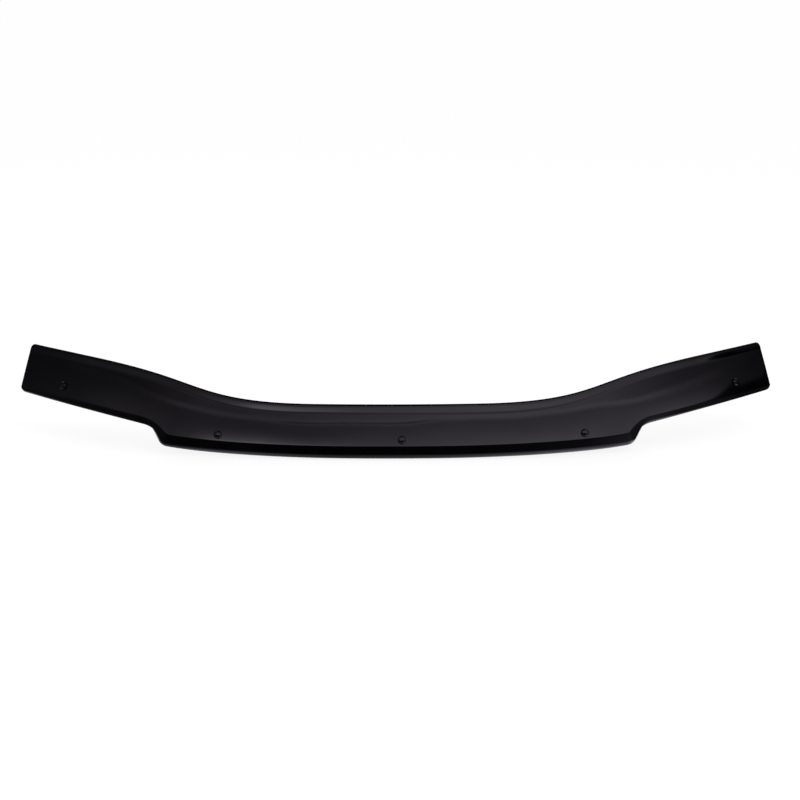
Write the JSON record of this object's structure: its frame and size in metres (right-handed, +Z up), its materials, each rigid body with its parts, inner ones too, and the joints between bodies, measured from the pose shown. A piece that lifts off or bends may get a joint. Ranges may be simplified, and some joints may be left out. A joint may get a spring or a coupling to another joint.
{
  "type": "hood bug deflector",
  "caption": "Curved acrylic hood deflector with an upper lip, stepped wings and a rolled lower edge, on capped screws with rubber well nuts.",
  "frame": {"origin": "bottom centre of the whole part's box, on the outline's middle plane", "axes": "as it sits on the vehicle: +X to the right seen from the front, +Y towards the windscreen, +Z up"},
  "size_m": [1.4488, 0.2164, 0.172],
  "materials": {
    "smoked_acrylic": "polished near-black acrylic",
    "cap_plastic": "moulded black, satin gloss",
    "washer_plastic": "moulded black, matt",
    "zinc_steel": "zinc plated",
    "nut_rubber": "moulded rubber",
    "insert_brass": "turned"
  },
  "bodies": {
    "root": {"deflector_shield": "smoked_acrylic", "screw_cap_left_outer": "cap_plastic", "screw_cap_left_inner": "cap_plastic", "screw_cap_middle": "cap_plastic", "screw_cap_right_inner": "cap_plastic", "screw_cap_right_outer": "cap_plastic", "cup_washer_left_outer": "washer_plastic", "cup_washer_left_inner": "washer_plastic", "cup_washer_middle": "washer_plastic", "cup_washer_right_inner": "washer_plastic", "cup_washer_right_outer": "washer_plastic", "screw_left_outer": "zinc_steel", "screw_left_inner": "zinc_steel", "screw_middle": "zinc_steel", "screw_right_inner": "zinc_steel", "screw_right_outer": "zinc_steel", "well_nut_left_outer": "nut_rubber", "well_nut_left_inner": "nut_rubber", "well_nut_middle": "nut_rubber", "well_nut_right_inner": "nut_rubber", "well_nut_right_outer": "nut_rubber", "nut_insert_left_outer": "insert_brass", "nut_insert_left_inner": "insert_brass", "nut_insert_middle": "insert_brass", "nut_insert_right_inner": "insert_brass", "nut_insert_right_outer": "insert_brass"}
  },
  "joints": []
}
